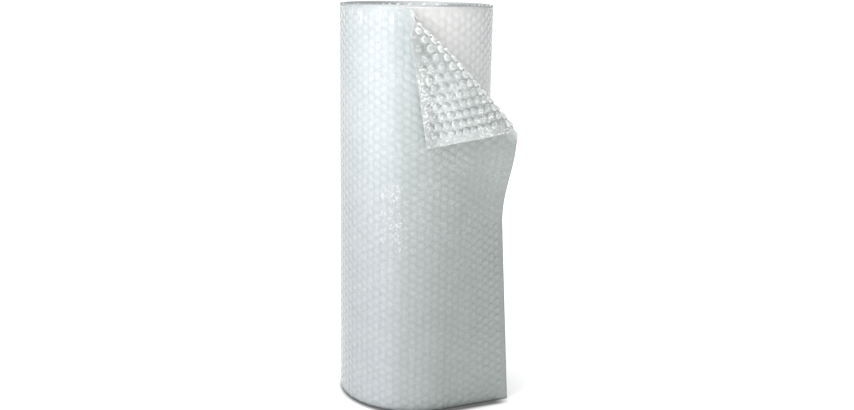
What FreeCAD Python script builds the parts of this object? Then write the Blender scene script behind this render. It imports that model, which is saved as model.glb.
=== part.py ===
import FreeCAD, Part
import math
import os

# A coreless roll of small-bubble wrap that stands on its end, as one welded sheet: the wound turns, the loose
# end on the right and the top corner of that end, folded over outwards.
# Millimetres. The roll's axis is +Z, its lower end is z = 0, the front is -Y, the loose end is towards +X.
# A place on the sheet is (s, z): s runs round the outer turn from the front line towards the loose end's edge,
# z runs up the sheet. The sheet's flat face looks outwards and its bubble side looks at the axis.

sheet_width = 500.0         # height of the standing roll
hole_radius = 38.0          # open centre, bubble side of the first turn
thickness = 3.9             # film with its bubbles
turn_gap = 0.72             # air from one turn to the next
turns = 12                  # whole turns from the first one to the outer one
step_angle = 60.0           # stretch over which the second turn climbs over the start of the first
first_turn_angle = 306.0    # round part of the first turn

free_edge_at = 132.7        # s of the loose end's free edge
leave_angle = 24.0          # where the sheet leaves the roll, at the foot and under the fold
leave_angle_most = 41.5     # the same at the belly, where the sheet clings furthest
fold_along_top = 174.0      # folded corner, length along the top edge
fold_down_edge = 170.0      # folded corner, length down the free edge
fold_radius = 10.0          # inside of the bend at the free edge
fold_radius_top = 17.0      # inside of the bend at the top edge
fold_start = 50.0           # stretch of the crease over which the bend closes from the top edge
fold_slip = 0.36            # slide of the folded part along the crease, per mm away from it
flap_gap = 8.0              # air between the flap and the turn it lies on
flap_settle = 70.0          # stretch over which the flap comes down from the bend
blunt = 0.5                 # the very tip of the corner that is missing

corner_film = 1.8           # solid film under the bubbles of the folded corner
film_ease = 14.0            # stretch past the crease over which the sheet thins to that
bubble_pitch = 10.8         # from bubble to bubble up the sheet, next column half a step higher
bubble_radius = 4.7         # foot of a bubble
bubble_top = 3.3            # its flatter top
bubble_sides = 6
edge_margin = 8.0           # from an edge or the crease to the nearest bubble's middle

pitch = thickness + turn_gap
outer_radius = hole_radius + turns * pitch + thickness
fold_foot = sheet_width - fold_down_edge
crease_top = (free_edge_at - fold_along_top, sheet_width)
crease_foot = (free_edge_at, fold_foot)
corner = (free_edge_at, sheet_width)
crease_length = math.hypot(fold_along_top, fold_down_edge)
corner_height = fold_along_top * fold_down_edge / crease_length
bend_share = 1.1 * math.pi * max(fold_radius, fold_radius_top) / corner_height
joint = crease_top[0] / outer_radius

os.makedirs("parts", exist_ok=True)
V = FreeCAD.Vector
UP = V(0, 0, 1)


def smooth(t):
    t = min(1.0, max(0.0, t))
    return t * t * (3.0 - 2.0 * t)


def at(angle, radius, centre=V(0, 0, 0)):
    """The point at an angle from the front, round a centre."""
    return centre + V(radius * math.sin(angle), -radius * math.cos(angle), 0)


def arc(centre, radius, start, sweep):
    ends = [at(start - sweep * part, radius, centre) for part in (0.0, 0.5, 1.0)]
    return Part.Arc(*ends).toShape()


def bend(start, heading, end, depth):
    """The arc that leaves start along heading and reaches end, moved inwards by a depth, and where it heads then."""
    chord = end - start
    along = V(chord).normalize()
    side = V(along.y, -along.x, 0)
    height = chord.Length / 2 * math.tan(math.atan2(heading.dot(side), heading.dot(along)) / 2)
    leaving_way = along * (2 * heading.dot(along)) - heading
    points = [start + V(-heading.y, heading.x, 0) * -depth,
              (start + end) / 2 + side * height + side * depth,
              end + V(-leaving_way.y, leaving_way.x, 0) * -depth]
    return Part.Arc(*points).toShape(), leaving_way


def climb(start, radius, sweep, depth):
    """Two arcs that step inwards by one pitch."""
    one, two = at(start, radius), at(start - sweep, radius - pitch)
    way_one = V(-math.cos(start), -math.sin(start), 0)
    way_two = V(-math.cos(start - sweep), -math.sin(start - sweep), 0)
    gap, both, part = two - one, way_one + way_two, 2 * (1 - way_one.dot(way_two))
    reach = (-gap.dot(both) + math.sqrt(gap.dot(both) ** 2 + part * gap.dot(gap))) / part
    middle = (one + way_one * reach + two - way_two * reach) / 2
    first, way = bend(one, way_one, middle, depth)
    second, way = bend(middle, way, two, depth)
    return [first, second]


def one_side(depth):
    """One face of the wound sheet in plan, from the joint inwards; depth is measured from the flat face."""
    start = joint
    shifted = at(start, pitch / 2)
    edges = []
    for k in range(1, 2 * turns - 1):
        centre = shifted if k % 2 else V(0, 0, 0)
        edges.append(arc(centre, outer_radius - k * pitch / 2 - depth, start - (k - 1) * math.pi, math.pi))
    radius = outer_radius - (turns - 1) * pitch
    start -= 2 * (turns - 1) * math.pi
    step = math.radians(step_angle)
    edges += climb(start, radius, step, depth)
    edges.append(arc(V(0, 0, 0), radius - pitch - depth, start - step, math.radians(first_turn_angle)))
    return edges


def wound_faces():
    """The wound part without its end face at the joint."""
    flat_side = one_side(0.0)
    bubble_side = one_side(thickness)
    start = joint
    last = start - math.radians(step_angle + first_turn_angle)
    inner = outer_radius - turns * pitch
    caps = [Part.makeLine(at(start, outer_radius), at(start, outer_radius - thickness)),
            Part.makeLine(at(last, inner), at(last, inner - thickness))]
    plan = Part.Wire(Part.__sortEdges__(flat_side + bubble_side + caps))
    solid = Part.Face(plan).extrude(UP * sheet_width)
    middle = at(start, outer_radius - thickness / 2) + UP * sheet_width / 2
    return [face for face in solid.Faces if (face.CenterOfMass - middle).Length > 0.1]


def leaving(z):
    """Angle at which the sheet leaves the roll at a height."""
    belly = (leave_angle_most - leave_angle) * z / (0.7 * fold_foot)
    fade = smooth((z - 0.69 * fold_foot) / (0.335 * fold_foot))
    return math.radians(leave_angle + belly * (1.0 - fade))


def base(s, z):
    """The unfolded sheet: a point of the flat face, the way it faces and the level way along it."""
    turn_end = leaving(z)
    angle = min(s / outer_radius, turn_end)
    along = V(math.cos(angle), math.sin(angle), 0)
    beyond = max(0.0, s - outer_radius * turn_end)
    return at(angle, outer_radius) + along * beyond + UP * z, at(angle, 1.0), along


def sheet_point(s, z, depth):
    """A point of the loose stretch with its corner folded, at a depth behind the flat face."""
    cs, cz = fold_along_top / crease_length, -fold_down_edge / crease_length
    along = (s - crease_top[0]) * cs + (z - crease_top[1]) * cz
    past = -(s - crease_top[0]) * cz + (z - crease_top[1]) * cs
    bend = smooth(along / fold_start) / (fold_radius_top + (fold_radius - fold_radius_top) * along / crease_length)
    turned = past * bend
    if past <= 0.0 or turned <= 1e-6:
        place, facing, _ = base(s, z)
        return place - facing * depth
    if turned < math.pi:
        across = math.sin(turned) / bend
        height = (1.0 - math.cos(turned)) / bend
        slip = 0.0
    else:
        left = past - math.pi / bend
        across = -left
        height = flap_gap + (2.0 / bend - flap_gap) * (1.0 - smooth(left / flap_settle))
        slip = fold_slip * left
        turned = math.pi
    s_new = crease_top[0] + (along + slip) * cs - across * cz
    z_new = crease_top[1] + (along + slip) * cz + across * cs
    place, facing, level = base(s_new, z_new)
    outward = level * -cz + UP * cs
    normal = facing * math.cos(turned) - outward * math.sin(turned)
    return place + facing * height - normal * depth


def mix(one, other, part):
    return (one[0] + (other[0] - one[0]) * part, one[1] + (other[1] - one[1]) * part)


def flat_cell(across, up):
    """Place on the sheet for the part below the crease, both shares from 0 to 1."""
    s = crease_top[0] + fold_along_top * across
    return s, (sheet_width - fold_down_edge * across) * up


def corner_cell(across, up):
    """Place on the sheet for the folded corner; up is the share of its height over the crease."""
    return mix(mix(crease_top, corner, up), mix(crease_foot, corner, up), across)


def past_crease(s, z):
    return ((s - crease_top[0]) * fold_down_edge + (z - crease_top[1]) * fold_along_top) / crease_length


def sheet_depth(s, z):
    """How thick the sheet is at a place; past the crease it thins down to the film."""
    return thickness - (thickness - corner_film) * smooth(past_crease(s, z) / film_ease)


def lengthways(cell, across, rows, share):
    """The smooth line up the sheet at one share of a patch's breadth, on its flat face or its bubble side."""
    places = [cell(across, up) for up in rows]
    curve = Part.BSplineCurve()
    curve.interpolate(Points=[sheet_point(s, z, share * sheet_depth(s, z)) for s, z in places], Parameters=rows)
    return curve


def between(one, other):
    return Part.makeRuledSurface(one, other, 1)


def patch_faces(cell, rows, closed_sides):
    """Narrow strips side by side for both sides of the film, and the named edges of the film."""
    columns = 12
    lines = []
    for i in range(columns + 1):
        lines.append([lengthways(cell, i / columns, rows, share) for share in (0.0, 1.0)])
    faces = []
    for left, right in zip(lines, lines[1:]):
        faces += [between(left[k].toShape(), right[k].toShape()) for k in (0, 1)]
        for side, first in (("foot", True), ("head", False)):
            if side in closed_sides:
                ends = [line.StartPoint if first else line.EndPoint for line in left + right]
                faces.append(between(Part.makeLine(ends[0], ends[1]), Part.makeLine(ends[2], ends[3])))
    for side, line in (("left", lines[0]), ("right", lines[-1])):
        if side in closed_sides:
            faces.append(between(line[0].toShape(), line[1].toShape()))
    return faces


def loose_faces():
    """The loose stretch without its face at the joint."""
    low_rows = 7
    bend_rows = 9
    flap_rows = 5
    flap_share = 1.0 - blunt / corner_height - bend_share
    low = [i / low_rows for i in range(low_rows + 1)]
    high = [bend_share * i / bend_rows for i in range(bend_rows)]
    high += [bend_share + flap_share * i / flap_rows for i in range(flap_rows + 1)]
    return patch_faces(flat_cell, low, ("foot", "right")) + patch_faces(corner_cell, high, ("left", "right", "head"))


def bubble(s, z):
    """One bubble of the folded corner, rooted in the film."""
    root = sheet_point(s, z, 0.0)
    axis = (sheet_point(s, z, thickness) - root).normalize()
    level = (sheet_point(s + 1.0, z, 0.0) - root).normalize()
    upright = axis.cross(level)

    def ring(depth, radius):
        angles = [2 * math.pi * k / bubble_sides for k in range(bubble_sides + 1)]
        return [root + axis * depth + (level * math.cos(a) + upright * math.sin(a)) * radius for a in angles]

    low, high = ring(corner_film / 2, bubble_radius), ring(thickness, bubble_top)
    faces = [Part.Face(Part.makePolygon(points)) for points in (low, high)]
    for k in range(bubble_sides):
        side = [low[k], low[k + 1], high[k + 1], high[k], low[k]]
        faces.append(Part.Face(Part.makePolygon(side)))
    return Part.Solid(Part.Shell(faces))


def corner_bubbles():
    """The staggered bubbles that have room on the folded corner."""
    found = []
    column_pitch = bubble_pitch * math.sqrt(3) / 2
    for i in range(int(crease_top[0] / column_pitch), int(free_edge_at / column_pitch) + 1):
        s = i * column_pitch
        for j in range(int(sheet_width / bubble_pitch) + 1):
            z = (j + 0.5 + 0.5 * (i % 2)) * bubble_pitch
            if past_crease(s, z) > edge_margin and s < free_edge_at - edge_margin and z < sheet_width - edge_margin:
                found.append(bubble(s, z))
    return found


def wound_sheet():
    shell = Part.Compound(wound_faces() + loose_faces())
    shell.sewShape(0.05)
    solid = Part.Solid(shell.Shells[0])
    if solid.Volume < 0:
        solid.reverse()
    return solid.fuse(corner_bubbles())


sheet = wound_sheet()
print("wound_sheet", sheet.isValid(), sheet.isClosed(), len(sheet.Solids), sheet.Volume, sheet.BoundBox)
sheet.exportStep("parts/wound_sheet.step")
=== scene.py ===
import math

import bpy
from mathutils import Matrix, Vector


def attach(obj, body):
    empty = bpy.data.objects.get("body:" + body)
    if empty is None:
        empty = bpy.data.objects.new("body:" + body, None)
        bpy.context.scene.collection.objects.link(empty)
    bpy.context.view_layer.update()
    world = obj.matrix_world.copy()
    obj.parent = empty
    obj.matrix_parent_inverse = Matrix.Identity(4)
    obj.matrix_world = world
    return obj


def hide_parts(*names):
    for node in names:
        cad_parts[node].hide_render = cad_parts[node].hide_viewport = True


# Sizes in millimetres, the same as in the part's source; meshes are written in metres.
MM = 0.001
SHEET_WIDTH = 500.0
HOLE_RADIUS = 38.0
THICKNESS = 3.9
TURN_GAP = 0.72
TURNS = 12
STEP = math.radians(60.0)           # the innermost turn steps in by one pitch over this angle
FIRST_TURN = math.radians(306.0)    # and goes on for this angle to the inner end
PITCH = THICKNESS + TURN_GAP
OUTER_RADIUS = HOLE_RADIUS + TURNS * PITCH + THICKNESS

# Places along the sheet are counted from the front line of the roll; what is wound has a minus.
FREE_EDGE_AT = 132.7
LEAVE = 24.0                        # degrees round the roll where the sheet leaves it, at the foot
LEAVE_MOST = 41.5                   # and where it bellies out
BELLY_FULL_AT = 0.7                 # shares of the height of the fold's foot: the belly grows to here,
BELLY_FADES_AT = 0.69               # starts to fade here
BELLY_FADES_OVER = 0.335            # and is gone after this much more
FOLD_ALONG_TOP = 174.0              # sides of the folded corner
FOLD_DOWN_EDGE = 170.0
FOLD_RADIUS = 10.0                  # of the bend at the free edge
FOLD_RADIUS_TOP = 17.0              # and at the top edge
FOLD_START = 50.0                   # the bend eases in over this much of the crease
FOLD_SLIP = 0.36                    # slide along the crease for each millimetre past the bend
FLAP_GAP = 8.0                      # between the settled flap and the sheet below
FLAP_SETTLE = 70.0                  # it settles over this much past the bend

FILM = 0.3                          # one layer of film
BUBBLE_PITCH = 10.8                 # from bubble to bubble up the sheet
COLUMN_PITCH = BUBBLE_PITCH * math.sqrt(3) / 2
BUBBLE_RADIUS = 4.8
PILLOW_HEIGHT = 0.32
DOME_FULLNESS = 0.75                # 1 is a half ellipse, less is fuller

FOLD_FOOT = SHEET_WIDTH - FOLD_DOWN_EDGE
CREASE_TOP = (FREE_EDGE_AT - FOLD_ALONG_TOP, SHEET_WIDTH)
CREASE_LENGTH = math.hypot(FOLD_ALONG_TOP, FOLD_DOWN_EDGE)
JOINT = CREASE_TOP[0] / OUTER_RADIUS
TURNS_SWEEP = 2 * math.pi * (TURNS - 1) + STEP + FIRST_TURN
OUTER_RUN = 2 * math.pi + 0.15      # from the joint to where the next turn inwards is out of sight

# Steps of the films' meshes.
ROWS = 180                          # up the outer film
LOOSE_STEP = 2.7                    # along the loose stretch
FRONT_STEP = math.radians(2.5)      # round the front of the outer turn
BACK_STEP = math.radians(4.0)       # and round the rest of it, from BACK_FROM
BACK_FROM = math.radians(80.0)
INNER_ROWS = 4
INNER_STEP = math.radians(5.5)

# much of the look below is painted light and shade: the tones and brightness of parts of the sheet, the lift
# beside the flap, the glint patch and the highlights on the bend and at the rim
# How the film's look changes over the sheet. Each line has from, to, value before and value after:
# along the sheet in metres from the front line, up it in metres, and as it turns over, 0 to 1.
ALONG = {
    "loose end begins": (-0.034, -0.006, 0.0, 0.72),
    "loose end goes on": (-0.006, 0.04, 0.0, 0.28),
    "beyond the left side": (-0.155, -0.04, 1.0, 0.0),
    "under the loose end": (-0.60, -0.41, 1.0, 0.0),
    "back begins": (-0.45, -0.37, 0.0, 0.7),
    "back ends": (-0.27, -0.16, 1.0, 0.0),
    "next turn inwards": (-0.70, -0.66, 0.75, 0.0),
    "beside the flap": (-0.020, -0.006, 0.0, 0.14),
    "patch begins": (-0.05, -0.03, 0.0, 2.5),
    "patch ends": (-0.02, -0.005, 1.0, 0.0),
}
UP = {
    "loose end, near the top": (0.36, 0.47, 1.0, 0.7),
    "loose end, upper half": (0.2, 0.36, 0.0, 0.08),
    "whole sheet": (0.05, 0.5, 0.95, 1.19),
    "foot": (0.0, 0.12, 1.07, 1.0),
    "turns, lower half": (0.2, 0.4, 0.12, 0.0),
    "flap, lower part": (0.36, 0.46, 0.22, 0.0),
    "flap, border": (0.474, 0.49, 0.0, 0.24),
    "beside the flap": (0.33, 0.42, 0.0, 1.0),
    "glints": (0.1, 0.32, 0.3, 1.0),
    "patch begins": (0.18, 0.24, 0.0, 1.0),
    "patch ends": (0.27, 0.31, 1.0, 0.0),
    "rim highlight streaks begin": (0.472, 0.485, 0.0, 1.0),
    "rim highlight streaks end": (0.493, 0.499, 1.0, 0.0),
}
OVER = {
    "bend begins": (0.15, 0.45, 0.0, 1.0),
    "bend ends": (0.7, 1.0, 1.0, 0.25),
    "flap": (0.5, 1.0, 0.0, 1.0),
    "before the bend": (0.0, 0.05, 1.0, 0.0),
    "rim highlight streaks": (0.0, 0.3, 1.0, 0.0),
}
# The same for a noise's value, and each noise's scale and detail.
GRADED = {
    "mottle": (0.3, 0.7, -1.0, 1.0),
    "glints": (0.54, 0.62, 0.0, 1.0),
    "glint groups": (0.35, 0.6, 0.3, 1.5),
    "rim highlight streaks": (0.52, 0.68, 0.0, 0.8),
    "roughness": (0.25, 0.75, 0.6, 1.5),
}
NOISES = {
    "blotches": (35.0, 3.0),
    "fine": (170.0, 4.0),
    "creases": (420.0, 2.0),
    "glints": (330.0, 1.0),
    "rim highlight streaks": (210.0, 2.0),
}
BLOTCH_SHARE, FINE_SHARE = 0.4, 0.6     # in the mottle
CREASE_SHARE = 0.35                     # in the relief
STREAK_STRETCH = (1.0, 1.0, 0.15)       # draws the painted highlight streaks at the rim out along the roll
# the colour of the painted highlights and glints
GLEAM = (0.96, 0.97, 0.96, 1.0)
DOT = (0.0, 0.4, 1.0, 0.0)              # the same from the middle of a bubble outwards, 0 to 1, for the painted highlight in its middle
RIM_POWER = 3.0                         # the higher, the narrower the shade on a bubble's rim
# the four tones are partly the film's own and partly painted light and shade, set for how bright each part
# looks under the lamps
TONES = ("Wound tone", "Back tone", "Loose tone", "Under tone")
FILM_SHADER = {"IOR": 1.5, "Coat Weight": 0.5, "Coat Roughness": 0.08}
EDGE_BLEND = 0.12                       # how narrow the part seen edge on is

# The shade round the roll's foot, and the floor, in metres.
SHADE_SHIFT = (0.004, -0.007, 0.0)
SHADE_ROUND = (OUTER_RADIUS * MM - 0.002, OUTER_RADIUS * MM + 0.008, 0.85, 0.0)
SHADE_AHEAD = (0.07, 0.096, 1.0, 0.0)
SHADE_FRONT = (0.0, 0.05, 1.0, 0.0)
FLOOR_REACH = 25.0
FLOOR_DROP = 0.0002
FLOOR_ROUGHNESS = 0.6
FLOOR_GLOW = 0.22
FLOOR_GRAIN = 8.0
FLOOR_GREYS = (0.90, 0.93)

# The photo's view: widths in pixels, places in millimetres, turns in radians.
PHOTO_WIDTH = 854.0
FOCAL_LENGTH = 1025.588
SENSOR_WIDTH = 36.0
CAMERA_AT = (15.3, -1292.4, 550.9)
CAMERA_PITCH = 0.232984
CAMERA_ROLL = 0.0172117

SKY_LIGHTS = 0.42                       # strength of the surroundings as a light
SKY_SEEN = 1.0                          # and as the camera sees them


def smooth(t):
    """0 to 1 with level ends."""
    t = min(1.0, max(0.0, t))
    return t * t * (3.0 - 2.0 * t)


def facing_at(angle):
    """The way out from the axis, at an angle from the front line."""
    return Vector((math.sin(angle), -math.cos(angle), 0.0))


# the sheet's shape

def leaving(z):
    """The angle from the front line, in radians, at which the sheet leaves the roll."""
    belly = (LEAVE_MOST - LEAVE) * z / (BELLY_FULL_AT * FOLD_FOOT)
    fade = smooth((z - BELLY_FADES_AT * FOLD_FOOT) / (BELLY_FADES_OVER * FOLD_FOOT))
    return math.radians(LEAVE + belly * (1.0 - fade))


def base(s, z):
    """A point of the sheet before its corner is folded, the way it faces and the way it runs on."""
    turn_end = leaving(z)
    angle = min(s / OUTER_RADIUS, turn_end)
    along = Vector((math.cos(angle), math.sin(angle), 0.0))
    beyond = max(0.0, s - OUTER_RADIUS * turn_end)
    facing = facing_at(angle)
    return facing * OUTER_RADIUS + along * beyond + Vector((0, 0, z)), facing, along


def loose_place(s, z):
    """A point of the loose stretch's flat face, the way it faces and how far it has turned over, 0 to 1."""
    cs, cz = FOLD_ALONG_TOP / CREASE_LENGTH, -FOLD_DOWN_EDGE / CREASE_LENGTH
    along = (s - CREASE_TOP[0]) * cs + (z - CREASE_TOP[1]) * cz
    past = -(s - CREASE_TOP[0]) * cz + (z - CREASE_TOP[1]) * cs
    radius = FOLD_RADIUS_TOP + (FOLD_RADIUS - FOLD_RADIUS_TOP) * along / CREASE_LENGTH
    bend = smooth(along / FOLD_START) / radius
    turned = past * bend
    if past <= 0.0 or turned <= 1e-6:
        place, facing, _ = base(s, z)
        return place, facing, 0.0
    if turned < math.pi:
        across = math.sin(turned) / bend
        height = (1.0 - math.cos(turned)) / bend
        slip = 0.0
    else:
        left = past - math.pi / bend
        across = -left
        height = FLAP_GAP + (2.0 / bend - FLAP_GAP) * (1.0 - smooth(left / FLAP_SETTLE))
        slip = FOLD_SLIP * left
        turned = math.pi
    place, facing, level = base(CREASE_TOP[0] + (along + slip) * cs - across * cz,
                                CREASE_TOP[1] + (along + slip) * cz + across * cs)
    outward = level * -cz + Vector((0, 0, cs))
    facing_out = facing * math.cos(turned) - outward * math.sin(turned)
    return place + facing * height, facing_out, turned / math.pi


def wound_place(run, z):
    """A point of the wound part's flat face and the way it faces, at the angle gone inwards from the joint.

    The turns are half circles round two centres, so each comes in by one pitch.
    """
    whole = 2 * math.pi * (TURNS - 1)
    angle = JOINT - run
    facing = facing_at(angle)
    if run < whole:
        k = int(run / math.pi) + 1
        centre = facing_at(JOINT) * (PITCH / 2 if k % 2 else 0.0)
        return centre + facing * (OUTER_RADIUS - k * PITCH / 2) + Vector((0, 0, z)), facing
    radius = OUTER_RADIUS - (TURNS - 1) * PITCH - PITCH * smooth((run - whole) / STEP)
    return facing * radius + Vector((0, 0, z)), facing


# mesh helpers

def mesh_object(name, verts, faces, places=None):
    """A mesh; places gives each vertex's metres along and up the sheet and how far it has turned over."""
    mesh = bpy.data.meshes.new(name)
    mesh.from_pydata([tuple(v) for v in verts], [], faces)
    if places is not None:
        attribute = mesh.attributes.new("sheet_place", "FLOAT_VECTOR", "POINT")
        for item, place in zip(attribute.data, places):
            item.vector = place
    mesh.update()
    piece = bpy.data.objects.new(name, mesh)
    bpy.context.scene.collection.objects.link(piece)
    return piece


def film_piece(name, lines, outside, inside):
    """A thin closed film from a grid of (point, facing, s, z, turned), with a material for each side."""
    columns, rows = len(lines), len(lines[0])
    verts, places = [], []
    for depth in (0.0, FILM):
        for line in lines:
            for place, facing, s, z, turned in line:
                verts.append((place - facing * depth) * MM)
                places.append((s * MM, z * MM, turned))
    size = columns * rows

    def at(side, i, j):
        return side * size + i * rows + j

    faces = []
    last, top = columns - 1, rows - 1
    for i in range(last):
        for j in range(top):
            faces.append((at(0, i, j), at(0, i + 1, j), at(0, i + 1, j + 1), at(0, i, j + 1)))
            faces.append((at(1, i, j + 1), at(1, i + 1, j + 1), at(1, i + 1, j), at(1, i, j)))
    for i in range(last):
        faces.append((at(0, i + 1, 0), at(0, i, 0), at(1, i, 0), at(1, i + 1, 0)))
        faces.append((at(0, i, top), at(0, i + 1, top), at(1, i + 1, top), at(1, i, top)))
    for j in range(top):
        faces.append((at(0, 0, j), at(0, 0, j + 1), at(1, 0, j + 1), at(1, 0, j)))
        faces.append((at(0, last, j + 1), at(0, last, j), at(1, last, j), at(1, last, j + 1)))
    piece = mesh_object(name, verts, faces, places)
    piece.data.materials.append(outside)
    piece.data.materials.append(inside)
    for polygon in piece.data.polygons[:2 * last * top]:
        polygon.use_smooth = True
        polygon.material_index = polygon.index % 2
    return piece


# helpers for nodes

def ranged(tree, value, low, high, first, last):
    """A value that goes smoothly from first, at low, to last, at high."""
    made = tree.nodes.new("ShaderNodeMapRange")
    made.interpolation_type = "SMOOTHSTEP"
    tree.links.new(value, made.inputs["Value"])
    for name, number in (("From Min", low), ("From Max", high), ("To Min", first), ("To Max", last)):
        made.inputs[name].default_value = number
    return made.outputs["Result"]


def joined(tree, kind, operation, *values):
    """A node of mathematics on values, each a number or another node's output."""
    made = tree.nodes.new(kind)
    made.operation = operation
    for index, value in enumerate(values):
        if isinstance(value, bpy.types.NodeSocket):
            tree.links.new(value, made.inputs[index])
        else:
            made.inputs[index].default_value = value
    return made


def maths(tree, operation, *values):
    return joined(tree, "ShaderNodeMath", operation, *values).outputs[0]


def dimmed(tree, colour, amount):
    """A colour times an amount."""
    made = joined(tree, "ShaderNodeVectorMath", "SCALE", colour)
    tree.links.new(amount, made.inputs["Scale"])
    return made.outputs[0]


# the bubbles, as one tree of nodes

def bubble_tree():
    """Domes on points: each point's facing attribute gives the way its dome looks."""
    tree = bpy.data.node_groups.new("bubbles_on_points", "GeometryNodeTree")
    face = tree.interface
    face.new_socket("Geometry", in_out="INPUT", socket_type="NodeSocketGeometry")
    for name, value in (("Dome radius", 0.0047), ("Dome height", 0.0036), ("Size spread", 0.05)):
        socket = face.new_socket(name, in_out="INPUT", socket_type="NodeSocketFloat")
        socket.default_value = value
    for name, value in (("Segments", 12), ("Rings", 3), ("Seed", 7)):
        socket = face.new_socket(name, in_out="INPUT", socket_type="NodeSocketInt")
        socket.default_value = value
    face.new_socket("Finish", in_out="INPUT", socket_type="NodeSocketMaterial")
    face.new_socket("Geometry", in_out="OUTPUT", socket_type="NodeSocketGeometry")
    nodes, links = tree.nodes, tree.links

    def node(kind, **settings):
        made = nodes.new(kind)
        for key, value in settings.items():
            setattr(made, key, value)
        return made

    start = node("NodeGroupInput")
    cone = node("GeometryNodeMeshCone", fill_type="NONE")
    cone.inputs["Radius Top"].default_value = 0.0
    cone.inputs["Radius Bottom"].default_value = 1.0
    cone.inputs["Depth"].default_value = 0.0
    links.new(start.outputs["Segments"], cone.inputs["Vertices"])
    links.new(start.outputs["Rings"], cone.inputs["Side Segments"])
    position = node("GeometryNodeInputPosition")
    length = node("ShaderNodeVectorMath", operation="LENGTH")
    links.new(position.outputs[0], length.inputs[0])
    reach = length.outputs["Value"]
    turn = maths(tree, "MULTIPLY", reach, math.pi / 2)
    spread = maths(tree, "DIVIDE", maths(tree, "SINE", turn), maths(tree, "MAXIMUM", reach, 1e-4))
    wide = maths(tree, "MULTIPLY", spread, start.outputs["Dome radius"])
    fall = maths(tree, "MAXIMUM", maths(tree, "COSINE", turn), 0.0)
    high = maths(tree, "MULTIPLY", maths(tree, "POWER", fall, DOME_FULLNESS), start.outputs["Dome height"])
    scaled = node("ShaderNodeVectorMath", operation="SCALE")
    links.new(position.outputs[0], scaled.inputs[0])
    links.new(wide, scaled.inputs["Scale"])
    lifted = node("ShaderNodeCombineXYZ")
    links.new(high, lifted.inputs["Z"])
    flat = node("ShaderNodeVectorMath", operation="MULTIPLY")
    flat.inputs[1].default_value = (1.0, 1.0, 0.0)
    links.new(scaled.outputs[0], flat.inputs[0])
    added = node("ShaderNodeVectorMath", operation="ADD")
    links.new(flat.outputs[0], added.inputs[0])
    links.new(lifted.outputs[0], added.inputs[1])
    noted = node("GeometryNodeStoreNamedAttribute", data_type="FLOAT", domain="POINT")
    noted.inputs["Name"].default_value = "reach"
    links.new(cone.outputs["Mesh"], noted.inputs["Geometry"])
    links.new(reach, noted.inputs["Value"])
    shaped = node("GeometryNodeSetPosition")
    links.new(noted.outputs["Geometry"], shaped.inputs["Geometry"])
    links.new(added.outputs[0], shaped.inputs["Position"])

    facing = node("GeometryNodeInputNamedAttribute", data_type="FLOAT_VECTOR")
    facing.inputs["Name"].default_value = "facing"
    aimed = node("FunctionNodeAlignEulerToVector", axis="Z")
    links.new(facing.outputs["Attribute"], aimed.inputs["Vector"])
    chance = node("FunctionNodeRandomValue", data_type="FLOAT")
    links.new(maths(tree, "SUBTRACT", 1.0, start.outputs["Size spread"]), chance.inputs[2])
    links.new(maths(tree, "ADD", 1.0, start.outputs["Size spread"]), chance.inputs[3])
    links.new(start.outputs["Seed"], chance.inputs["Seed"])
    placed = node("GeometryNodeInstanceOnPoints")
    links.new(start.outputs["Geometry"], placed.inputs["Points"])
    links.new(shaped.outputs["Geometry"], placed.inputs["Instance"])
    links.new(aimed.outputs["Rotation"], placed.inputs["Rotation"])
    links.new(chance.outputs[1], placed.inputs["Scale"])
    real = node("GeometryNodeRealizeInstances")
    links.new(placed.outputs["Instances"], real.inputs["Geometry"])
    rounded = node("GeometryNodeSetShadeSmooth")
    links.new(real.outputs[0], rounded.inputs["Geometry"])
    finish = node("GeometryNodeSetMaterial")
    links.new(rounded.outputs[0], finish.inputs["Geometry"])
    links.new(start.outputs["Finish"], finish.inputs["Material"])
    end = node("NodeGroupOutput")
    links.new(finish.outputs[0], end.inputs["Geometry"])
    return tree


def bubbles(name, tree, spots, sizes, material):
    """A mesh of domes at spots, a list of (point, facing, s, z, turned) in millimetres."""
    places = [(s * MM, z * MM, turned) for _, _, s, z, turned in spots]
    piece = mesh_object(name, [spot[0] * MM for spot in spots], [], places)
    attribute = piece.data.attributes.new("facing", "FLOAT_VECTOR", "POINT")
    for item, spot in zip(attribute.data, spots):
        item.vector = spot[1]
    modifier = piece.modifiers.new("bubbles", "NODES")
    modifier.node_group = tree
    values = dict(sizes, Finish=material)
    for item in tree.interface.items_tree:
        if item.in_out == "INPUT" and item.name in values:
            modifier[item.identifier] = values[item.name]
    graph = bpy.context.evaluated_depsgraph_get()
    made = bpy.data.meshes.new_from_object(piece.evaluated_get(graph))
    made.name = name
    piece.modifiers.remove(modifier)
    old = piece.data
    piece.data = made
    bpy.data.meshes.remove(old)
    return piece


# materials

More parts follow.
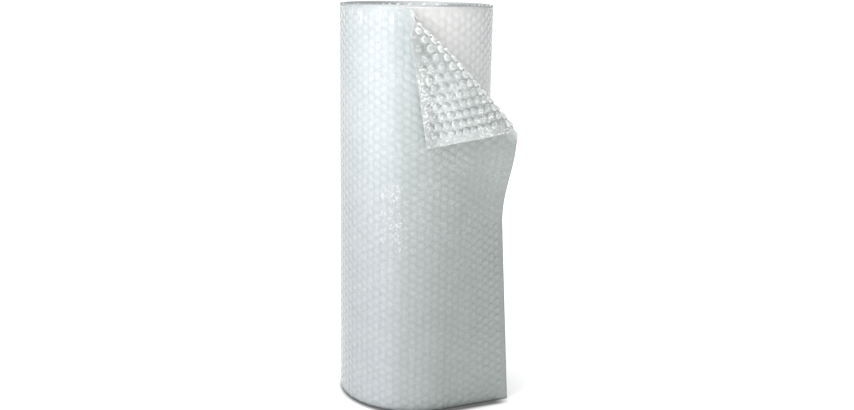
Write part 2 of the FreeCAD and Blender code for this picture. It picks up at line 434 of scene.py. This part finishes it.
def film_group():
    """Tone, gloss and fine creases of the film, by the place on the sheet, with painted light, shade,
    highlights and glints in the tone.
    """
    tree = bpy.data.node_groups.new("film_surface", "ShaderNodeTree")
    face = tree.interface
    for name, kind, value in (("Wound tone", "Color", (0.7, 0.74, 0.75, 1)),
                              ("Back tone", "Color", (0.5, 0.55, 0.56, 1)),
                              ("Loose tone", "Color", (0.5, 0.54, 0.54, 1)),
                              ("Under tone", "Color", (0.7, 0.7, 0.7, 1)),
                              ("Mottle", "Float", 0.12), ("Roughness", "Float", 0.25),
                              ("Rim shade", "Float", 0.0), ("Glints", "Float", 0.0),
                              ("Dot", "Float", 0.0), ("Bend gleam", "Float", 0.0)):
        socket = face.new_socket(name, in_out="INPUT", socket_type="NodeSocket" + kind)
        socket.default_value = value
    for name, kind in (("Color", "Color"), ("Roughness", "Float"), ("Height", "Float")):
        face.new_socket(name, in_out="OUTPUT", socket_type="NodeSocket" + kind)
    nodes, links = tree.nodes, tree.links
    start, end = nodes.new("NodeGroupInput"), nodes.new("NodeGroupOutput")
    given = start.outputs

    def times(one, two):
        return maths(tree, "MULTIPLY", one, two)

    def brighter(light, amount):
        return times(light, maths(tree, "ADD", 1.0, amount))

    def darker(light, amount):
        return times(light, maths(tree, "SUBTRACT", 1.0, amount))

    def mixed(share, one, two):
        made = nodes.new("ShaderNodeMix")
        made.data_type = "RGBA"
        links.new(share, made.inputs[0])
        links.new(one, made.inputs[6])
        links.new(two, made.inputs[7])
        return made.outputs[2]

    def noise(vector, name):
        made = nodes.new("ShaderNodeTexNoise")
        made.inputs["Scale"].default_value, made.inputs["Detail"].default_value = NOISES[name]
        links.new(vector, made.inputs["Vector"])
        return made.outputs["Fac"]

    def graded(value, name):
        return ranged(tree, value, *GRADED[name])

    place = nodes.new("ShaderNodeAttribute")
    place.attribute_name = "sheet_place"
    split = nodes.new("ShaderNodeSeparateXYZ")
    links.new(place.outputs["Vector"], split.inputs[0])
    run, height, turned = split.outputs
    bubble = nodes.new("ShaderNodeAttribute")
    bubble.attribute_name = "reach"
    reach = bubble.outputs["Fac"]
    where = nodes.new("ShaderNodeTexCoord").outputs["Object"]

    def along(name):
        return ranged(tree, run, *ALONG[name])

    def up(name):
        return ranged(tree, height, *UP[name])

    def over(name):
        return ranged(tree, turned, *OVER[name])

    # the tone of each part of the sheet: the front left, the loose end, the back, its middle and the turn
    # under the loose end; partly the film's own and partly painted light and shade
    share = maths(tree, "ADD", along("loose end begins"), along("loose end goes on"))
    share = times(share, up("loose end, near the top"))
    tone = mixed(share, given["Wound tone"], given["Loose tone"])
    tone = mixed(along("beyond the left side"), tone, given["Back tone"])
    tone = mixed(along("under the loose end"), tone, given["Under tone"])
    tone = mixed(times(along("back begins"), along("back ends")), tone, given["Under tone"])
    tone = mixed(along("next turn inwards"), tone, given["Back tone"])
    highlight_white = nodes.new("ShaderNodeRGB").outputs[0]
    highlight_white.default_value = GLEAM
    # painted highlight along the bend of the fold
    bend = times(over("bend begins"), over("bend ends"))
    tone = mixed(times(bend, given["Bend gleam"]), tone, highlight_white)

    blotch = noise(where, "blotches")
    fine = noise(where, "fine")
    crease = noise(where, "creases")
    mottle = maths(tree, "ADD", times(graded(blotch, "mottle"), BLOTCH_SHARE),
                   times(graded(fine, "mottle"), FINE_SHARE))
    light = maths(tree, "ADD", 1.0, times(mottle, given["Mottle"]))
    # painted light and shade: lighter towards the top and at the foot, the loose end lighter in its upper
    # half, the turns darker low down, the flap darker in its lower part
    light = times(light, up("whole sheet"))
    light = times(light, up("foot"))
    light = brighter(light, times(share, up("loose end, upper half")))
    light = darker(light, times(up("turns, lower half"), maths(tree, "SUBTRACT", 1.0, share)))
    light = darker(light, times(over("flap"), up("flap, lower part")))
    light = darker(light, times(over("flap"), up("flap, border")))
    # painted light beside the flap's edge, over the shadow the flap casts on the sheet
    beside = times(along("beside the flap"), up("beside the flap"))
    light = brighter(light, times(beside, over("before the bend")))
    # painted shade on each bubble's rim, painted light there where Rim shade is negative, and a painted
    # highlight in its middle
    light = darker(light, times(maths(tree, "POWER", reach, RIM_POWER), given["Rim shade"]))
    light = maths(tree, "ADD", light, times(ranged(tree, reach, *DOT), given["Dot"]))

    # painted glints: white specks in the colour, in groups, more of them up the sheet and in one patch near
    # the joint
    glint = times(graded(noise(where, "glints"), "glints"), given["Glints"])
    glint = times(glint, graded(blotch, "glint groups"))
    patch = times(along("patch begins"), along("patch ends"))
    patch = times(patch, times(up("patch begins"), up("patch ends")))
    glint = times(glint, maths(tree, "ADD", up("glints"), patch))
    # painted highlight streaks just under the rim, not on the turned flap
    drawn = joined(tree, "ShaderNodeVectorMath", "MULTIPLY", where, STREAK_STRETCH).outputs[0]
    rim_highlight = times(up("rim highlight streaks begin"), up("rim highlight streaks end"))
    rim_highlight = times(rim_highlight, graded(noise(drawn, "rim highlight streaks"), "rim highlight streaks"))
    rim_highlight = times(rim_highlight, over("rim highlight streaks"))
    glint = maths(tree, "MAXIMUM", glint, times(rim_highlight, given["Bend gleam"]))

    links.new(mixed(glint, dimmed(tree, tone, light), highlight_white), end.inputs["Color"])
    links.new(times(given["Roughness"], graded(fine, "roughness")), end.inputs["Roughness"])
    links.new(maths(tree, "ADD", fine, times(crease, CREASE_SHARE)), end.inputs["Height"])
    return tree


def film_material(name, group, tones, values, edge_on, relief):
    """Film in four tones, for the front left, the back, the loose end and the turn below it; each is partly
    the film's own tone and partly painted light and shade.

    edge_on is what is left of its tone where it is seen edge on, painted shade below 1 and painted light
    above 1, and relief the depth of its creases.
    """
    material = bpy.data.materials.new(name)
    material.use_nodes = True
    tree = material.node_tree
    nodes, links = tree.nodes, tree.links
    shader = nodes["Principled BSDF"]
    for socket, value in FILM_SHADER.items():
        shader.inputs[socket].default_value = value
    surface = nodes.new("ShaderNodeGroup")
    surface.node_tree = group
    for socket, tone in zip(TONES, tones):
        surface.inputs[socket].default_value = (*tone, 1.0)
    for socket, value in values.items():
        surface.inputs[socket].default_value = value
    # painted shade towards the outline where edge_on is below 1, painted light where it is above 1
    edge = nodes.new("ShaderNodeLayerWeight")
    edge.inputs["Blend"].default_value = EDGE_BLEND
    left = nodes.new("ShaderNodeMapRange")
    left.inputs["To Min"].default_value = 1.0
    left.inputs["To Max"].default_value = edge_on
    links.new(edge.outputs["Facing"], left.inputs["Value"])
    colour = dimmed(tree, surface.outputs["Color"], left.outputs["Result"])
    links.new(colour, shader.inputs["Base Color"])
    links.new(surface.outputs["Roughness"], shader.inputs["Roughness"])
    ripple = nodes.new("ShaderNodeBump")
    ripple.inputs["Strength"].default_value = 1.0
    ripple.inputs["Distance"].default_value = relief
    links.new(surface.outputs["Height"], ripple.inputs["Height"])
    links.new(ripple.outputs["Normal"], shader.inputs["Normal"])
    return material


# the pieces

def lattice(first, last):
    """Bubble places on the sheet between two runs from the front line, in staggered columns."""
    start = math.ceil(first / COLUMN_PITCH)
    for i in range(start, math.floor(last / COLUMN_PITCH) + 1):
        shift = 0.5 if i % 2 else 0.0
        j = 0
        while (j + shift + 0.5) * BUBBLE_PITCH < SHEET_WIDTH - BUBBLE_RADIUS:
            yield i * COLUMN_PITCH, (j + shift + 0.5) * BUBBLE_PITCH
            j += 1


def stepped(first, last, step):
    """Even steps from first to last, at most step long, without the last itself."""
    count = math.ceil(abs(last - first) / step)
    return [first + (last - first) * i / count for i in range(count)]


def heights(rows):
    return [SHEET_WIDTH * j / rows for j in range(rows + 1)]


def on_wound(run, z):
    return wound_place(run, z) + (CREASE_TOP[0] - run * OUTER_RADIUS, z, 0.0)


def on_loose(s, z, depth):
    place, facing, turned = loose_place(s, z)
    return place - facing * depth, facing, s, z, turned


def inner_film(material):
    """The turns that only show at the roll's ends."""
    runs = stepped(TURNS_SWEEP, OUTER_RUN, INNER_STEP) + [OUTER_RUN]
    lines = [[on_wound(run, z) for z in heights(INNER_ROWS)] for run in runs]
    return film_piece("inner_turns", lines, material, material)


def outer_film(outside, inside):
    """The outer turn and the loose stretch with its folded corner, as one film."""
    runs = stepped(OUTER_RUN, BACK_FROM, BACK_STEP) + stepped(BACK_FROM, 0.0, FRONT_STEP)
    lines = [[on_wound(run, z) for z in heights(ROWS)] for run in runs]
    for s in stepped(CREASE_TOP[0], FREE_EDGE_AT, LOOSE_STEP) + [FREE_EDGE_AT]:
        lines.append([on_loose(s, z, 0.0) for z in heights(ROWS)])
    return film_piece("outer_sheet", lines, outside, inside)


def end_spots():
    """The last rows of bubbles at both ends of every turn, on the side that looks at the axis."""
    run, column = 0.0, 0
    while run < TURNS_SWEEP:
        shift = 0.5 if column % 2 else 0.0
        for row in (0, 1):
            inwards = (row + shift + 0.5) * BUBBLE_PITCH
            for z in (inwards, SHEET_WIDTH - inwards):
                place, facing = wound_place(run, z)
                yield place - facing * FILM, -facing, CREASE_TOP[0] - run * OUTER_RADIUS, z, 0.0
        radius = OUTER_RADIUS - PITCH * run / (2 * math.pi)
        run += COLUMN_PITCH / radius
        column += 1


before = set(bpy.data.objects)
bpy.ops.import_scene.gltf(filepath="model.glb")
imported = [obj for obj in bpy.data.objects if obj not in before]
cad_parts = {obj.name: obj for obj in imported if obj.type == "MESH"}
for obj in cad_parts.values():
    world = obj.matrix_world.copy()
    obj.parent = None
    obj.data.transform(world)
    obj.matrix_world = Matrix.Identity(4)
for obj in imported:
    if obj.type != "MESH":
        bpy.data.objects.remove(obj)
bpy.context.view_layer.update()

tree = bubble_tree()
surface = film_group()
# the tones and amounts below carry painted light, shade, highlights and glints
film = film_material(
    "flat_film", surface,
    ((0.53, 0.578, 0.592), (0.44, 0.485, 0.50), (0.37, 0.41, 0.40), (0.765, 0.755, 0.75)),
    {"Roughness": 0.26, "Mottle": 0.06, "Glints": 0.05, "Bend gleam": 0.6},
    edge_on=0.0, relief=0.0008)
pillow_film = film_material(
    "pillow_film", surface,
    ((0.56, 0.607, 0.627), (0.46, 0.505, 0.525), (0.39, 0.43, 0.42), (0.82, 0.81, 0.805)),
    {"Roughness": 0.2, "Mottle": 0.05, "Rim shade": 0.04, "Glints": 0.12, "Dot": 0.06, "Bend gleam": 0.9},
    edge_on=0.0, relief=0.0005)
bubble_side = film_material(
    "bubble_side_film", surface,
    ((0.55, 0.59, 0.60), (0.55, 0.58, 0.58), (0.41, 0.445, 0.435), (0.46, 0.48, 0.47)),
    {"Roughness": 0.2, "Mottle": 0.12, "Glints": 0.5, "Bend gleam": 0.4},
    edge_on=1.1, relief=0.0008)
dome = film_material(
    "bubble_film", surface,
    ((0.50, 0.54, 0.55), (0.50, 0.53, 0.53), (0.36, 0.39, 0.38), (0.46, 0.48, 0.47)),
    {"Roughness": 0.15, "Mottle": 0.12, "Rim shade": -0.5, "Glints": 0.6, "Dot": 0.3, "Bend gleam": 0.3},
    edge_on=1.4, relief=0.0008)

turns = inner_film(film)
sheet = outer_film(film, bubble_side)

# flat pillows on the outer face, full domes on the bubble side, clear of the joint and the free edge
pillow = {"Dome radius": BUBBLE_RADIUS * MM, "Dome height": PILLOW_HEIGHT * MM, "Segments": 12, "Rings": 2}
full = {"Dome radius": BUBBLE_RADIUS * MM, "Dome height": (THICKNESS - FILM) * MM, "Segments": 14, "Rings": 4}
wound_spots = [wound_place((CREASE_TOP[0] - s) / OUTER_RADIUS, z) + (s, z, 0.0)
               for s, z in lattice(CREASE_TOP[0] - OUTER_RUN * OUTER_RADIUS, CREASE_TOP[0] - 1.0)]
skin = bubbles("outer_pillows", tree, wound_spots, pillow, pillow_film)
loose_spots = list(lattice(CREASE_TOP[0] + 1.0, FREE_EDGE_AT - 2.0))
outward = [on_loose(s, z, 0.0) for s, z in loose_spots]
loose_pillows = bubbles("loose_pillows", tree, outward, pillow, pillow_film)
inward = []
for s, z in loose_spots:
    place, facing, *rest = on_loose(s, z, FILM)
    inward.append((place, -facing, *rest))
loose_domes = bubbles("loose_bubbles", tree, inward, full, dome)
end_bubbles = bubbles("end_bubbles", tree, list(end_spots()), dict(full, Segments=10, Rings=3), dome)

for piece in (turns, sheet, skin, loose_pillows, loose_domes, end_bubbles):
    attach(piece, "root")
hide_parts("wound_sheet")


# floor, light and camera

def area_light(name, place, target, size, power):
    data = bpy.data.lights.new(name, "AREA")
    data.shape = "RECTANGLE"
    data.size, data.size_y = size
    data.energy = power
    lamp = bpy.data.objects.new(name, data)
    bpy.context.scene.collection.objects.link(lamp)
    lamp.location = place
    lamp.rotation_euler = (Vector(target) - Vector(place)).to_track_quat("-Z", "Y").to_euler()


def floor():
    """A pale floor that glows a little, with a soft shade on the camera's side of the roll's foot."""
    sides = ((-1, -1), (1, -1), (1, 1), (-1, 1))
    corners = [(x * FLOOR_REACH, y * FLOOR_REACH, -FLOOR_DROP) for x, y in sides]
    piece = mesh_object("floor", corners, [(0, 1, 2, 3)])
    material = bpy.data.materials.new("pale_floor")
    material.use_nodes = True
    tree = material.node_tree
    nodes, links = tree.nodes, tree.links
    shader = nodes["Principled BSDF"]
    shader.inputs["Roughness"].default_value = FLOOR_ROUGHNESS
    shader.inputs["Emission Strength"].default_value = FLOOR_GLOW
    where = nodes.new("ShaderNodeTexCoord").outputs["Object"]
    grain = nodes.new("ShaderNodeTexNoise")
    grain.inputs["Scale"].default_value = FLOOR_GRAIN
    links.new(where, grain.inputs["Vector"])
    tint = nodes.new("ShaderNodeValToRGB")
    for element, grey in zip(tint.color_ramp.elements, FLOOR_GREYS):
        element.color = (grey, grey, grey, 1)
    links.new(grain.outputs["Fac"], tint.inputs["Fac"])

    # how far a point lies out from the line of the foot: round the roll, then straight along the loose end
    leave = math.radians(LEAVE)
    level = (math.cos(leave), math.sin(leave), 0.0)
    cast = joined(tree, "ShaderNodeVectorMath", "SUBTRACT", where, SHADE_SHIFT).outputs[0]
    out = joined(tree, "ShaderNodeVectorMath", "DOT_PRODUCT", cast, tuple(facing_at(leave))).outputs["Value"]
    ahead = joined(tree, "ShaderNodeVectorMath", "DOT_PRODUCT", cast, level).outputs["Value"]
    foot = nodes.new("ShaderNodeCombineXYZ")
    links.new(out, foot.inputs["X"])
    links.new(maths(tree, "MINIMUM", ahead, 0.0), foot.inputs["Y"])
    away = joined(tree, "ShaderNodeVectorMath", "LENGTH", foot.outputs[0]).outputs["Value"]
    parts = nodes.new("ShaderNodeSeparateXYZ")
    links.new(where, parts.inputs[0])
    # painted shade on the floor along the roll's foot, on the camera's side
    shade = maths(tree, "MULTIPLY", ranged(tree, away, *SHADE_ROUND), ranged(tree, ahead, *SHADE_AHEAD))
    shade = maths(tree, "MULTIPLY", shade, ranged(tree, parts.outputs["Y"], *SHADE_FRONT))
    shaded = dimmed(tree, tint.outputs["Color"], maths(tree, "SUBTRACT", 1.0, shade))
    links.new(shaded, shader.inputs["Base Color"])
    links.new(shaded, shader.inputs["Emission Color"])
    piece.data.materials.append(material)
    return piece


def camera():
    forward = Vector((0, math.cos(CAMERA_PITCH), -math.sin(CAMERA_PITCH)))
    right = Vector((1, 0, 0))
    up = right.cross(forward)
    side = right * math.cos(CAMERA_ROLL) + up * math.sin(CAMERA_ROLL)
    top = up * math.cos(CAMERA_ROLL) - right * math.sin(CAMERA_ROLL)
    data = bpy.data.cameras.new("photo_view")
    data.sensor_width = SENSOR_WIDTH
    data.lens = FOCAL_LENGTH * SENSOR_WIDTH / PHOTO_WIDTH
    piece = bpy.data.objects.new("photo_view", data)
    bpy.context.scene.collection.objects.link(piece)
    turn = Matrix((side, top, -forward)).transposed().to_4x4()
    piece.matrix_world = Matrix.Translation(Vector(CAMERA_AT) * MM) @ turn
    bpy.context.scene.camera = piece


floor()
area_light("key_left", place=(-1.05, -1.0, 1.35), target=(0, 0, 0.3), size=(0.9, 1.1), power=8.2)
area_light("tall_left", place=(-1.4, -1.0, 0.75), target=(0, 0, 0.6), size=(1.5, 1.5), power=5.5)
sun = bpy.data.lights.new("overhead", "SUN")
sun.energy = 2.3
sun.angle = math.radians(70.0)
overhead = bpy.data.objects.new("overhead", sun)
bpy.context.scene.collection.objects.link(overhead)
overhead.rotation_euler = (math.radians(-6.0), math.radians(-10.0), 0)

# the surroundings light the roll less than they show behind it
world = bpy.context.scene.world or bpy.data.worlds.new("studio")
bpy.context.scene.world = world
world.use_nodes = True
sky = world.node_tree.nodes["Background"]
sky.inputs["Color"].default_value = (1, 1, 1, 1)
ray = world.node_tree.nodes.new("ShaderNodeLightPath")
level = world.node_tree.nodes.new("ShaderNodeMapRange")
level.inputs["To Min"].default_value = SKY_LIGHTS
level.inputs["To Max"].default_value = SKY_SEEN
world.node_tree.links.new(ray.outputs["Is Camera Ray"], level.inputs["Value"])
world.node_tree.links.new(level.outputs["Result"], sky.inputs["Strength"])
bpy.context.scene.view_settings.view_transform = "Standard"
camera()
